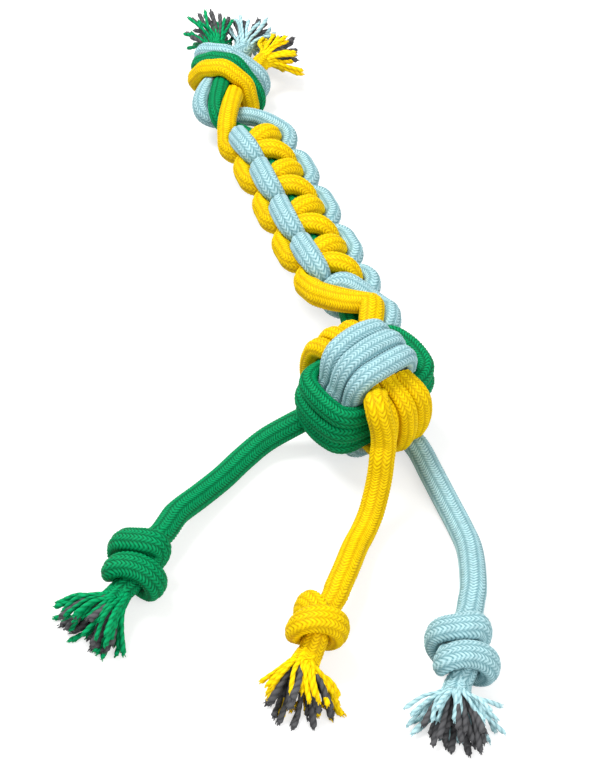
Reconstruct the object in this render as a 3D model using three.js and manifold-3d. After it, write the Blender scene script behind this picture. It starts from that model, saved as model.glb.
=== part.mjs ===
// Rope dog toy: three braided ropes tied into a ball, a flat sennit, one large knot and three legs.
// Millimetres, +Z up, origin on the floor under the ball, +Y towards the large knot.

import * as THREE from "three";
import ManifoldModule from "manifold-3d";

const degrees = THREE.MathUtils.degToRad;

// Driving dimensions
const ropeDiameter = 12; // free rope, as in the legs
const sennitDiameter = 7.8; // rope drawn tight in the sennit
const topKnotDiameter = 7.2; // rope drawn tight in the large knot
const endKnotDiameter = 7.8; // rope drawn tight in a leg's knot
const cordGap = 0.9; // least gap that the routes are settled to
const settleStep = 3; // spacing of the points that are settled

const strandWide = 9.5; // rope as pressed in the ball
const strandThick = 7.8;
const strandPitch = 10.8;
const ballTurns = 3;
const ballBendSteps = 4; // steps of a coil round each bend
const ballPassSteps = 4; // and along each straight pass
const ballLong = 28.9; // ball centre to the middle of an outer pass
const ballShort = 20.3; // ball centre to the middle of an inner pass
const ballCorner = 9.5; // bend radius between outer and inner passes
const ballRoundness = 0.85; // 0 keeps the tied block square, 1 rounds it fully
const ballStepReach = 20; // half of the length over which one turn moves to the next
const ballStub = 16; // each coil starts and ends this far past the middle of a hidden pass
const floorCut = 2; // depth of the flat on cords that the toy stands on
const coreRadius = 15.4; // fill inside the ball
const ballClearance = 2; // left between the ball and the ropes that swing at it
const ballTwist = degrees(-51); // turn of the tied block about the upright
const ballLean = degrees(6); // the block leans towards its yellow face
const ballHeight = ballLong + strandThick / 2 - floorCut;

const sennitPeriods = 4.6;
const sennitHalfWidth = 10;
const sennitLift = 6.3; // swing of a tying cord between front and back
const sennitTuck = -2.1; // draws edge links in and bars out
const sennitLean = 0.3; // share of the pitch that a bar slants back
const sennitRoll = degrees(-27);
const sennitStart = [-53.5, 202, 20.2];
const sennitEnd = [-4, 47, 32];

const topKnotCentre = [-72, 243, 17];
const topWrapRadius = 15.5;
const topWrapBase = 17; // middle wrap's place along the knot
const topWrapFall = 24; // drop of the wrap along the knot's length in one turn
const topWrapTilt = 4; // the wraps slant down to the right
const topWrapLean = 8; // and lean back under the knot
const topBand = 9.6; // spacing of the three ropes side by side

const endKnotPitch = 1.25; // along the knot for one turn, in rope diameters
const endKnotWrap = 1.6; // radius of a turn, in rope diameters
const endKnotInside = 0.58; // and of the two runs inside it
const endKnotBack = 0.6; // each run ends this far short of where the turns end, in rope diameters
const endKnotStretch = 1.4; // the wraps are wider along the knot than they are thick
const endKnotReach = 22; // knot centre to the end of its piece towards the leg
const endKnotTail = 16; // and towards the tassel
const endKnotDrop = 2.5; // the rope enters and leaves this far below the knot's centre
const endKnotStep = 2;

const tasselNeck = 10;
const endTassel = { length: 25.5, wide: 18.5, high: 9.5 };
const topTassel = { length: 26, wide: 9, high: 8.5 };
const coreYarnsReach = 3; // core yarns beyond the sheath yarns
const pieceGap = 0.4;

// Legs: points of the rope from the ball, knot centre on the floor plan, direction of the knot, how often the
// rope winds back round itself there, and the angle at which it starts to
const ropeRadius = ropeDiameter / 2;
const legStep = 7;
const legs = {
  green: {
    route: [[-31.5, -5.8, 14.2], [-46, -11, 7.8], [-56.6, -21.4, 6.2], [-65.5, -33, 6.2], [-75, -45, 7.2]],
    knot: [-101, -90],
    way: [-0.45, -0.893],
    turns: 1.75,
    wrapStart: degrees(225),
    tasselTurn: degrees(-18),
  },
  yellow: {
    route: [[5.7, -46.1, 22.9], [4, -52, 16.5], [1.5, -59, 10.2], [-2, -67, 7], [-5, -75.5, 7.2]],
    knot: [-21.7, -124.3],
    way: [-0.342, -0.94],
    turns: 1.25,
    wrapStart: degrees(210),
    tasselTurn: degrees(15),
  },
  blue: {
    route: [[25, -16.9, 8.3], [30.8, -31.2, 6.3], [36.7, -48.1, 6.2], [41.7, -63.4, 6.2], [44.8, -78, 6.6]],
    knot: [37.8, -136],
    way: [-0.196, -0.98],
    turns: 1.75,
    wrapStart: degrees(225),
    tasselTurn: degrees(8),
  },
};
const leadDiameter = 10; // yellow rope down the front of the ball
const leadRoute = [
  [2.8, -29.2, 53.5], [5.2, -32.6, 47.4], [6.9, -34.9, 40.7], [7.3, -37.6, 34.2], [6.4, -42.7, 28.6],
];

const colours = { green: 0x00965a, yellow: 0xf2c40a, blue: 0xafdbe1, grey: 0x4c4c50 };

const manifold = await ManifoldModule();
manifold.setup();

const vec = (x, y, z) => new THREE.Vector3(x, y, z);
const up = vec(0, 0, 1);

// Pieces
const toy = new THREE.Group();

function addPiece(name, geometry, colour) {
  const material = new THREE.MeshStandardMaterial({ color: colours[colour], roughness: 0.85 });
  material.name = colour === "grey" ? "grey_core_yarn" : `${colour}_rope`;
  const mesh = new THREE.Mesh(geometry, material);
  mesh.name = name;
  toy.add(mesh);
}

// A closed tube from rings of points, its ends closed by a point in the middle. Its faces point outwards
// whichever way round the rings run.
function closeRings(rings) {
  const sides = rings[0].length;
  const positions = [];
  const index = [];
  for (const ring of rings) {
    for (const point of ring) positions.push(point.x, point.y, point.z);
  }
  for (let i = 0; i + 1 < rings.length; i += 1) {
    for (let k = 0; k < sides; k += 1) {
      const a = i * sides + k;
      const b = i * sides + ((k + 1) % sides);
      index.push(a, b, b + sides, a, b + sides, a + sides);
    }
  }
  for (const [ring, first] of [[rings[0], true], [rings.at(-1), false]]) {
    const middle = vec(0, 0, 0);
    for (const point of ring) middle.add(point);
    middle.divideScalar(sides);
    const centre = positions.length / 3;
    positions.push(middle.x, middle.y, middle.z);
    const base = first ? 0 : (rings.length - 1) * sides;
    for (let k = 0; k < sides; k += 1) {
      const a = base + k;
      const b = base + ((k + 1) % sides);
      index.push(centre, first ? b : a, first ? a : b);
    }
  }
  const corner = (n) => vec(...positions.slice(3 * n, 3 * n + 3));
  let volume = 0;
  for (let i = 0; i < index.length; i += 3) {
    volume += corner(index[i]).dot(corner(index[i + 1]).cross(corner(index[i + 2])));
  }
  if (volume < 0) index.reverse();
  const geometry = new THREE.BufferGeometry();
  geometry.setAttribute("position", new THREE.Float32BufferAttribute(positions, 3));
  geometry.setIndex(index);
  geometry.computeVertexNormals();
  return geometry;
}

function tangentsOf(points) {
  return points.map((point, i) => {
    const before = points[Math.max(i - 1, 0)];
    const after = points[Math.min(i + 1, points.length - 1)];
    return after.clone().sub(before).normalize();
  });
}

// Round tube. The frame is carried along the route without twist. An end is domed, or cut square to a
// given direction.
function roundTube(points, radiusOf, sides, { domeStart, domeEnd, startWay, endWay } = {}) {
  const tangents = tangentsOf(points);
  if (startWay) tangents[0] = startWay;
  if (endWay) tangents[tangents.length - 1] = endWay;
  let side = Math.abs(tangents[0].z) < 0.9 ? up.clone() : vec(1, 0, 0);
  const frames = points.map((point, i) => {
    side = side.clone().addScaledVector(tangents[i], -side.dot(tangents[i])).normalize();
    const other = tangents[i].clone().cross(side);
    return { point, along: tangents[i], side, other, radius: radiusOf(point) };
  });
  const ringAt = ({ point, along, side: first, other, radius: size }, shift, share) => {
    const ring = [];
    for (let k = 0; k < sides; k += 1) {
      const angle = (2 * Math.PI * k) / sides;
      const spot = point.clone().addScaledVector(along, shift * size);
      spot.addScaledVector(first, Math.cos(angle) * size * share);
      spot.addScaledVector(other, Math.sin(angle) * size * share);
      ring.push(spot);
    }
    return ring;
  };
  const rings = frames.map((frame) => ringAt(frame, 0, 1));
  const domeAngles = [30, 60, 80].map((angle) => degrees(angle));
  for (const angle of domeAngles) {
    if (domeStart) rings.unshift(ringAt(frames[0], -Math.sin(angle), Math.cos(angle)));
    if (domeEnd) rings.push(ringAt(frames.at(-1), Math.sin(angle), Math.cos(angle)));
  }
  return closeRings(rings);
}

function evenly(points, step) {
  const curve = new THREE.CatmullRomCurve3(points, false, "centripetal");
  curve.arcLengthDivisions = 3000;
  return curve.getSpacedPoints(Math.max(2, Math.round(curve.getLength() / step)));
}

// Pushes routes apart until all clear each other, while each is drawn tight. Ends stay where they are.
// radiusOf gives the cord's radius at a point, and keepOut moves a point out of the floor and the ball.
function settle(routes, spacing, radiusOf, keepOut, rounds, pull) {
  const all = [];
  routes.forEach((points, cord) => {
    points.forEach((point, i) => {
      const held = i < 2 || i > points.length - 3;
      all.push({ point, cord, run: i * spacing, radius: radiusOf(point), held });
    });
  });
  for (let round = 0; round < rounds; round += 1) {
    const push = all.map(() => vec(0, 0, 0));
    const touches = all.map(() => 0);
    for (let a = 0; a < all.length; a += 1) {
      for (let b = a + 1; b < all.length; b += 1) {
        const one = all[a];
        const two = all[b];
        const need = one.radius + two.radius + cordGap;
        if (one.cord === two.cord && two.run - one.run < need * 1.6) continue;
        const apart = one.point.clone().sub(two.point);
        const distance = Math.max(apart.length(), 1e-6);
        if (distance >= need) continue;
        apart.multiplyScalar((0.5 * (need - distance)) / distance);
        push[a].add(apart);
        push[b].sub(apart);
        touches[a] += 1;
        touches[b] += 1;
      }
    }
    const strength = round < rounds * 0.8 ? pull : pull * 0.25;
    const before = all.map(({ point }) => point.clone());
    all.forEach(({ point, held, radius }, n) => {
      if (held) return;
      const bend = before[n - 1].clone().add(before[n + 1]).multiplyScalar(0.5).sub(before[n]);
      if (touches[n]) point.addScaledVector(push[n], 1 / Math.max(1, touches[n] * 0.6));
      point.addScaledVector(bend, strength);
      keepOut(point, radius);
    });
  }
}

// Least gap between routes, and between stretches of one route that lie apart along it.
function leastGap(routes, spacing, radiusOf) {
  let least = Infinity;
  routes.forEach((one, first) => {
    routes.slice(first).forEach((two, later) => {
      one.forEach((p, i) => {
        two.forEach((q, j) => {
          const need = radiusOf(p) + radiusOf(q);
          if (later === 0 && (j - i) * spacing < need * 1.8) return;
          least = Math.min(least, p.distanceTo(q) - need);
        });
      });
    });
  });
  return least;
}

// Ball: three coils, each over one neighbour and under the other
const greenFace = vec(Math.sin(ballTwist), -Math.cos(ballTwist), 0);
const yellowFace = vec(1, 0, 0).applyAxisAngle(up, ballTwist).applyAxisAngle(greenFace, -ballLean);
const blueFace = up.clone().applyAxisAngle(greenFace, -ballLean);
const ballCentre = vec(0, 0, ballHeight);
const ballRings = {
  blue: { long: blueFace, short: greenFace, across: yellowFace, side: -1, way: -1, drift: 1 },
  green: { long: greenFace, short: yellowFace, across: blueFace, side: -1, way: 1, drift: -1 },
  yellow: { long: yellowFace, short: blueFace, across: greenFace, side: 1, way: 1, drift: 1 },
};

const straightLong = 2 * (ballLong - ballCorner);
const straightShort = 2 * (ballShort - ballCorner);
const bendLength = (Math.PI / 2) * ballCorner;
const turnLength = 2 * (straightLong + straightShort) + 4 * bendLength;

// Place and outward direction on one turn, from the middle of the hidden pass on the short side.
function turnPoint(run) {
  let left = ((run % turnLength) + turnLength) % turnLength;
  const stretches = [straightLong / 2, straightShort, straightLong, straightShort, straightLong / 2];
  let heading = 0;
  let u = 0;
  let v = ballShort;
  for (const length of stretches) {
    const forward = [Math.cos(heading), Math.sin(heading)];
    const straight = Math.min(left, length);
    u += forward[0] * straight;
    v += forward[1] * straight;
    left -= straight;
    if (left <= 0) return { u, v, out: [-forward[1], forward[0]] };
    const bend = Math.min(left, bendLength);
    const angle = bend / ballCorner;
    const centre = [u + ballCorner * forward[1], v - ballCorner * forward[0]];
    const out = [Math.sin(angle - heading), Math.cos(angle - heading)];
    u = centre[0] + ballCorner * out[0];
    v = centre[1] + ballCorner * out[1];
    left -= bend;
    if (left <= 0) return { u, v, out };
    heading -= Math.PI / 2;
  }
  return { u, v, out: [0, 1] };
}

// Where a coil gets its sections: close together round the bends.
function coilMarks() {
  const marks = [];
  const addStretch = (start, length, steps) => {
    for (let i = 0; i < steps; i += 1) marks.push(start + (length * i) / steps);
  };
  for (let turn = 0; turn < ballTurns; turn += 1) {
    let at = turn * turnLength - straightLong / 2;
    for (const straight of [straightLong, straightShort, straightLong, straightShort]) {
      addStretch(at, straight, ballPassSteps);
      addStretch(at + straight, bendLength, ballBendSteps);
      at += straight + bendLength;
    }
  }
  const first = ballStub;
  const last = ballTurns * turnLength - ballStub;
  return [first, ...marks.filter((mark) => mark > first + 1 && mark < last - 1), last];
}

function stepsDone(run) {
  let done = 0;
  for (let turn = 0; turn <= ballTurns; turn += 1) {
    const middle = turn * turnLength;
    done += THREE.MathUtils.smoothstep(run, middle - ballStepReach, middle + ballStepReach);
  }
  return done;
}

// Draws a point of the tied block in towards a ball.
function roundOff(point) {
  const size = point.length();
  const powers = Math.abs(point.x) ** 8 + Math.abs(point.y) ** 8 + Math.abs(point.z) ** 8;
  const share = powers ** (1 / 8) / size;
  return point.clone().multiplyScalar(1 - ballRoundness + ballRoundness * share);
}

function ballCoil({ long, short, across, side, way, drift }, sides) {
  const place = (u, v, n) => vec(u * way, v * side, n * drift);
  const rings = [];
  for (const run of coilMarks()) {
    const { u, v, out } = turnPoint(run);
    const n = strandPitch * (stepsDone(run) - 1 - (ballTurns - 1) / 2);
    const ring = [];
    for (let k = 0; k < sides; k += 1) {
      const angle = (2 * Math.PI * k) / sides;
      const thick = (Math.cos(angle) * strandThick) / 2;
      const wide = (Math.sin(angle) * strandWide) / 2;
      const spot = roundOff(place(u + out[0] * thick, v + out[1] * thick, n + wide));
      const world = ballCentre.clone().addScaledVector(long, spot.x);
      world.addScaledVector(short, spot.y).addScaledVector(across, spot.z);
      ring.push(world);
    }
    rings.push(ring);
  }
  return rings;
}

// Least gap between one turn of a coil and the next, on the points of their surfaces.
function turnGap(rings) {
  const apart = 2 * (ballPassSteps + ballBendSteps);
  let least = Infinity;
  rings.forEach((ring, i) => {
    for (const other of rings.slice(i + apart).flat()) {
      for (const point of ring) least = Math.min(least, point.distanceTo(other));
    }
  });
  return least;
}

const toSolid = (geometry) => {
  const mesh = new manifold.Mesh({
    numProp: 3,
    vertProperties: new Float32Array(geometry.attributes.position.array),
    triVerts: new Uint32Array(geometry.index.array),
  });
  mesh.merge();
  return new manifold.Manifold(mesh);
};

function fromSolid(solid) {
  const mesh = solid.getMesh();
  const geometry = new THREE.BufferGeometry();
  geometry.setAttribute("position", new THREE.Float32BufferAttribute(mesh.vertProperties, 3));
  geometry.setIndex([...mesh.triVerts]);
  geometry.computeVertexNormals();
  return geometry;
}

// Cuts off whatever lies below the floor, leaving a flat.
function cutAtFloor(geometry) {
  const slab = new THREE.BoxGeometry(1000, 1000, 200).translate(0, 0, -100);
  return fromSolid(toSolid(geometry).subtract(toSolid(slab)));
}

for (const colour of ["blue", "green", "yellow"]) {
  const rings = ballCoil(ballRings[colour], 8);
  const coil = closeRings(rings);
  console.log(`least gap between turns of ${colour} in the ball ${turnGap(rings).toFixed(2)} mm`);
  addPiece(`${colour}_ball_turns`, colour === "blue" ? cutAtFloor(coil) : coil, colour);
}
const coreBall = new THREE.IcosahedronGeometry(coreRadius, 3).translate(0, 0, ballHeight);
addPiece("ball_core", coreBall, "grey");

// Sennit and large knot: each rope's route is laid by hand and by formula from tassel to ball, then settled
const along = vec(...sennitEnd).sub(vec(...sennitStart)).normalize();
const levelAcross = up.clone().cross(along).normalize();
const across = levelAcross.clone().applyAxisAngle(along, sennitRoll);
const front = along.clone().cross(across);
const pitch = vec(...sennitEnd).distanceTo(vec(...sennitStart)) / sennitPeriods;

// s counts pitches from the start, w runs across and t to the front.
function sennitPoint(s, w, t) {
  const point = vec(...sennitStart).addScaledVector(along, s * pitch);
  return point.addScaledVector(across, w).addScaledVector(front, t);
}

// A tying cord: links along both edges on its own face, bars slanting back across the other face.
function tyingCord(from, to, face) {
  const points = [];
  const steps = Math.round((to - from) * 24);
  for (let i = 0; i <= steps; i += 1) {
    const angle = 2 * Math.PI * (from + ((to - from) * i) / steps);
    const s = angle / (2 * Math.PI) + sennitLean * Math.sin(2 * angle);
    const w = sennitHalfWidth * Math.cos(angle);
    const t = sennitLift * Math.cos(2 * angle) + sennitTuck;
    points.push(sennitPoint(s, face * w, face * t));
  }
  return points;
}

function knotPoints(list) {
  return list.map(([x, y, z]) => vec(...topKnotCentre).add(vec(x, y, z)));
}

// Three ropes side by side round the large knot, from the back, over the front, to the back again.
function topWrap(rank) {
  const points = [];
  for (let angle = -65; angle <= 285; angle += 25) {
    const turn = degrees(angle);
    const fall = (topWrapFall * (angle - 90)) / 360;
    const slant = topWrapTilt * Math.cos(turn) + topWrapLean * Math.sin(turn);
    const y = topWrapBase + (1 - rank) * topBand + fall - slant;
    points.push([topWrapRadius * Math.cos(turn), y, topWrapRadius * Math.sin(turn)]);
  }
  return points;
}

const W = sennitHalfWidth;
const topRoutes = {
  blue: [
    ...knotPoints([[9.5, 44, 1], [8, 37, 0], [4, 29, -5], [0, 19, -5.5], [0, 8, -5], [0.5, 1, -9]]),
    ...knotPoints(topWrap(0)),
    ...knotPoints([[7, 34, -7], [5, 31, 1], [-4, 24, 6], [-7, 10, 5], [-5, 0, 8], [-5, -7, 12.5]]),
    ...knotPoints([[-16, -12, 12], [-24, -18, 3], [-20, -22, -8], [-7, -23, -9], [3, -22, 0]]),
    ...knotPoints([[9, -18, 12], [17, -18, 13]]),
    ...tyingCord(-0.05, 4.2, 1),
    sennitPoint(3.98, -0.55 * W, -8),
    sennitPoint(3.86, -1.0 * W, -3),
    sennitPoint(3.8, -1.05 * W, 6),
    sennitPoint(3.84, -0.65 * W, 14),
    sennitPoint(4.05, -0.15 * W, 15),
    sennitPoint(4.28, 0.25 * W, 10),
    sennitPoint(4.45, 0.6 * W, 3),
    sennitPoint(4.62, 1.0 * W, 3),
    vec(12, 42, 41),
    vec(12.5, 38, 42),
  ],
  yellow: [
    ...knotPoints([[21, 31, 2], [17, 27, 1], [11, 20, -3], [8, 11, -4], [8, 1, -5]]),
    ...knotPoints([[7, -9, -6], [6, -17, -10]]),
    ...knotPoints(topWrap(2)),
    ...knotPoints([[9, 18, -9], [10, 16, 0], [7, 10, 5.5], [6.5, -4, 8.5], [5.4, -15, 14.5]]),
    ...knotPoints([[1.5, -33, 15], [-3.2, -45, 9], [0, -49, 0], [4, -46, -5]]),
    ...tyingCord(0.07, 3.9, -1),
    sennitPoint(4.0, -1.2 * W, -4),
    sennitPoint(4.3, -1.3 * W, 0),
    sennitPoint(4.62, -1.05 * W, 7),
    sennitPoint(4.78, -0.5 * W, 12),
    sennitPoint(4.84, 0.1 * W, 13),
    vec(3.5, 41, 47),
    vec(4, 37, 48),
  ],
  green: [
    ...knotPoints([[-6.5, 43, 3], [-4.7, 36, 2], [-5, 28, -1], [-8, 18, -4], [-8, 5, -5]]),
    ...knotPoints([[-8, -3, -6], [-4, -9, -10]]),
    ...knotPoints(topWrap(1)),
    ...knotPoints([[8, 25, -4], [3, 21, 4], [0, 10, 5.5], [0, -4, 8], [0, -14, 13.5]]),
    ...knotPoints([[-8.6, -25, 12.5], [-13, -30, 5], [-8, -32, -4], [1, -30, -5], [8.4, -28, -1]]),
    sennitPoint(-0.1, 0, 0),
    sennitPoint(0.2, 0, 0),
    sennitPoint(2.5, 0, 0),
    sennitPoint(4.4, 0, 0),
    vec(-2.9, 31.8, 33),
  ],
};

function keepClear(point, radius) {
  point.z = Math.max(point.z, radius + 0.2);
  const away = point.clone().sub(ballCentre);
  const need = ballLong + strandThick / 2 + ballClearance + radius;
  if (away.length() < need) point.copy(ballCentre).addScaledVector(away.normalize(), need);
}

function topRadius(point) {
  const away = point.distanceTo(vec(...topKnotCentre));
  const share = THREE.MathUtils.smoothstep(away, 30, 45);
  return THREE.MathUtils.lerp(topKnotDiameter, sennitDiameter, share) / 2;
}

const topColours = Object.keys(topRoutes);
let topCords = topColours.map((colour) => evenly(topRoutes[colour], settleStep));
settle(topCords, settleStep, topRadius, keepClear, 350, 0.12);
topCords = topCords.map((points) => evenly(points, settleStep));
settle(topCords, settleStep, topRadius, keepClear, 250, 0.06);
topCords = topCords.map((points) => evenly(points, settleStep));
const topGap = leastGap(topCords, settleStep, topRadius);
console.log(`least gap in sennit and large knot ${topGap.toFixed(2)} mm`);

// The knot's share of each rope ends at the point nearest this place.
const knotEnds = knotPoints([[9, -18, 12], [0, -49, 0], [8.4, -28, -1]]);
const everyOther = (points) => points.filter((_, i) => i % 2 === 0 || i === points.length - 1);
const tasselWays = topCords.map(([end, next]) => end.clone().sub(next).normalize());

topColours.forEach((colour, n) => {
  const points = topCords[n];
  const distances = points.map((point) => point.distanceTo(knotEnds[n]));
  const split = distances.indexOf(Math.min(...distances));
  const way = tangentsOf(points)[split];
  const knot = everyOther(points.slice(0, split + 1));
  const sennit = everyOther(points.slice(split).map((point) => point.clone()));
  sennit[0].addScaledVector(way, pieceGap);
  const startWay = tasselWays[n].clone().negate();
  addPiece(`${colour}_top_knot`, roundTube(knot, topRadius, 6, { startWay, endWay: way }), colour);
  const name = colour === "green" ? "green_sennit_core" : `${colour}_sennit_cord`;
  const ends = { startWay: way, domeEnd: colour === "green" };
  addPiece(name, roundTube(sennit, topRadius, 6, ends), colour);
});

// Tassel: sheath yarns as a fan along x, hollowed for the core yarns that stand out of its end
function fan(stations, sides, { length, turn, droop }) {
  const rings = stations.map(([x, wide, high]) => {
    const bend = (x * x) / length;
    const ring = [];
    for (let k = 0; k < sides; k += 1) {
      const angle = (2 * Math.PI * k) / sides;
      const y = Math.tan(turn) * bend + wide * Math.cos(angle);
      ring.push(vec(x, y, high * Math.sin(angle) - (droop * bend) / length));
    }
    return ring;
  });
  return closeRings(rings);
}

function addTassel(name, colour, end, forward, shape) {
  const { length, wide, high, neck } = shape;
  const yarns = (spread) => fan([
    [0.3 * length - spread, 0.5 * neck + spread, 0.5 * neck + spread],
    [0.65 * length, 0.38 * wide + spread, 0.4 * high + spread],
    [length + coreYarnsReach + spread, 0.68 * wide + spread, 0.62 * high + spread],
  ], 12, shape);
  const sheath = fan([
    [0, neck, neck],
    [0.2 * length, 1.05 * neck, 1.02 * neck],
    [0.6 * length, 0.68 * wide, 0.75 * high],
    [length, wide, high],
  ], 16, shape);
  const hollow = fromSolid(toSolid(sheath).subtract(toSolid(yarns(1.5 * pieceGap))));
  const side = up.clone().cross(forward).normalize();
  const root = end.clone().addScaledVector(forward, pieceGap);
  const place = new THREE.Matrix4().makeBasis(forward, side, forward.clone().cross(side)).setPosition(root);
  addPiece(`${name}_tassel`, hollow.applyMatrix4(place), colour);
  addPiece(`${name}_core_yarns`, yarns(0).applyMatrix4(place), "grey");
}

topColours.forEach((colour, n) => {
  const shape = { ...topTassel, neck: topKnotDiameter / 2, turn: 0, droop: 6 };
  addTassel(`${colour}_top`, colour, topCords[n][0], tasselWays[n], shape);
});

// Leg's knot: an overhand tied in a rope along x and settled tight. The rope runs in, winds back round itself
// from the tassel's end to the leg's end, and runs out through its own turns. It is stretched along x
// afterwards, so its wraps are wider than they are thick.
const endKnotStart = -endKnotReach / endKnotStretch;
const endKnotEnd = endKnotTail / endKnotStretch;

function overhand(turns, wrapStart) {
  const half = (endKnotPitch * turns) / 2;
  const run = 2 * half - endKnotBack;
  const wind = 2 * Math.PI * turns;
  const twist = Math.PI * (2 * Math.ceil(turns) - 1) - wind;
  const points = [];
  const add = (x, radius, angle) => {
    const point = vec(x, radius * Math.cos(angle), radius * Math.sin(angle));
    points.push(point.multiplyScalar(endKnotDiameter));
  };
  for (const share of [0, 1 / 3, 2 / 3, 1]) {
    add(-half + run * share, endKnotInside, wrapStart + twist * (1 - share));
  }
  const steps = Math.round(10 * turns);
  for (let i = 0; i <= steps; i += 1) {
    const share = i / steps;
    const rise = THREE.MathUtils.smoothstep(Math.min(share, 1 - share), 0, 0.18);
    add(half * (1 - 2 * share), endKnotWrap * (0.62 + 0.38 * rise), wrapStart - wind * share);
  }
  for (const share of [0, 1 / 3, 2 / 3, 1]) {
    add(half - run * (1 - share), endKnotInside, wrapStart - wind - twist * share);
  }
  const low = -endKnotDrop;
  points.unshift(vec(endKnotStart, 0, low), vec(endKnotStart + 1, 0, low));
  points.push(vec(endKnotEnd - 1, 0, low), vec(endKnotEnd, 0, low));
  return points;
}

function endKnotRadius({ x }) {
  const legSwell = THREE.MathUtils.smoothstep(x / endKnotStart, 0.75, 0.97);
  const tailSwell = THREE.MathUtils.smoothstep(x / endKnotEnd, 0.85, 1);
  const swell = (ropeDiameter - endKnotDiameter) * legSwell + (tasselNeck - endKnotDiameter) * tailSwell;
  return (endKnotDiameter + swell) / 2;
}

function settledOverhand(turns, wrapStart) {
  const knot = [evenly(overhand(turns, wrapStart), endKnotStep)];
  settle(knot, endKnotStep, endKnotRadius, () => {}, 300, 0.08);
  knot[0] = evenly(knot[0], endKnotStep);
  settle(knot, endKnotStep, endKnotRadius, () => {}, 200, 0.05);
  console.log(`least gap in a leg's knot ${leastGap(knot, endKnotStep, endKnotRadius).toFixed(2)} mm`);
  return knot[0];
}

for (const [colour, { route, knot, way, turns, wrapStart, tasselTurn }] of Object.entries(legs)) {
  const forward = vec(...way, 0).normalize();
  const xWay = vec(1, 0, 0);
  const tied = settledOverhand(turns, wrapStart);
  const lowest = Math.min(...tied.map((point) => point.z - endKnotRadius(point)));
  const place = new THREE.Matrix4().makeBasis(forward, up.clone().cross(forward), up);
  place.setPosition(...knot, 0.1 - lowest);
  place.multiply(new THREE.Matrix4().makeScale(endKnotStretch, 1, 1));
  const tube = roundTube(everyOther(tied), endKnotRadius, 6, { startWay: xWay, endWay: xWay });
  addPiece(`${colour}_end_knot`, tube.applyMatrix4(place), colour);

  const pivot = tied[0].clone().applyMatrix4(place).addScaledVector(forward, -ropeRadius - pieceGap);
  const before = pivot.clone().addScaledVector(forward, -ropeRadius);
  const legPoints = evenly([...route.map((point) => vec(...point)), before, pivot], legStep);
  const domes = { domeStart: true, domeEnd: true };
  addPiece(`${colour}_leg`, roundTube(legPoints, () => ropeRadius, 10, domes), colour);
  const foot = pivot.toArray().map((value) => value.toFixed(2)).join(" ");
  console.log(`${colour} leg turns at ${route[0].join(" ")}, its foot at ${foot}`);

  const end = tied.at(-1).clone().applyMatrix4(place);
  const droop = Math.max(0, end.z - endTassel.high - 0.6);
  const shape = { ...endTassel, neck: tasselNeck / 2, turn: tasselTurn, droop };
  addTassel(`${colour}_end`, colour, end, forward, shape);
}

// Yellow rope down the front of the ball to its leg
const leadPoints = evenly(leadRoute.map((point) => vec(...point)), 5);
addPiece("yellow_ball_lead", roundTube(leadPoints, () => leadDiameter / 2, 8), "yellow");

export default toy;
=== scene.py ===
import math

import bpy
import numpy as np
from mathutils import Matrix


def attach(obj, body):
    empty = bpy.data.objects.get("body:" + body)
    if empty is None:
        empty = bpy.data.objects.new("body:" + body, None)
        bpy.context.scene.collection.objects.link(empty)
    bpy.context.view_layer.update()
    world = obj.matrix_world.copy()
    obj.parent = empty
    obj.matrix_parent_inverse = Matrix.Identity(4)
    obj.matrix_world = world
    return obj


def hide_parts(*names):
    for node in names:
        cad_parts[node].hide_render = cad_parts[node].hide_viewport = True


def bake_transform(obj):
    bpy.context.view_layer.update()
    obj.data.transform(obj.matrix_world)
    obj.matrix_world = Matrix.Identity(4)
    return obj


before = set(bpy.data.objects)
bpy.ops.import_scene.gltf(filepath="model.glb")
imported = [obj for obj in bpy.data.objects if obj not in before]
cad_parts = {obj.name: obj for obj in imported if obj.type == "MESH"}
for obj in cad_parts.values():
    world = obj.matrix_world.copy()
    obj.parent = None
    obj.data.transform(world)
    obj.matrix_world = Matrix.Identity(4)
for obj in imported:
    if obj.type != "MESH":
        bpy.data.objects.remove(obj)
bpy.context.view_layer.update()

# Rope dog toy: braided ropes tied into a ball, a flat sennit, one large knot and three legs with tassels.
# Metres, +Z up, origin on the floor under the ball, +Y towards the large knot.
MM = 0.001

# Camera at the photograph's angle
CAMERA_PLACE = (-0.0301, -0.5703, 0.6206)
CAMERA_DOWN = 46
CAMERA_ANGLE = 24.84
camera_data = bpy.data.cameras.new("camera")
camera_data.angle = math.radians(CAMERA_ANGLE)
camera = bpy.data.objects.new("camera", camera_data)
camera.location = CAMERA_PLACE
camera.rotation_euler = (math.radians(90 - CAMERA_DOWN), 0, 0)
bpy.context.scene.collection.objects.link(camera)
bpy.context.scene.camera = camera

# Sizes that follow the solids
ROPE_RADIUS = 6 * MM
SENNIT_DIAMETER = 7.8 * MM
TOP_KNOT_DIAMETER = 7.2 * MM
END_KNOT_DIAMETER = 7.8 * MM
CORD_GAP = 0.9 * MM
SETTLE_STEP = 3 * MM
BALL_LONG = 28.9 * MM
BALL_SHORT = 20.3 * MM
BALL_CORNER = 9.5 * MM
BALL_PITCH = 10.8 * MM
BALL_TURNS = 3
BALL_STEP_REACH = 20 * MM
BALL_STUB = 16 * MM
BALL_HEIGHT = 30.8 * MM
BALL_REACH = 32.8 * MM
BALL_TWIST = math.radians(-51)
BALL_LEAN = math.radians(6)
BALL_ROUNDNESS = 0.85
BALL_BLOCK_POWER = 8
PIECE_GAP = 0.4 * MM

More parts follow.
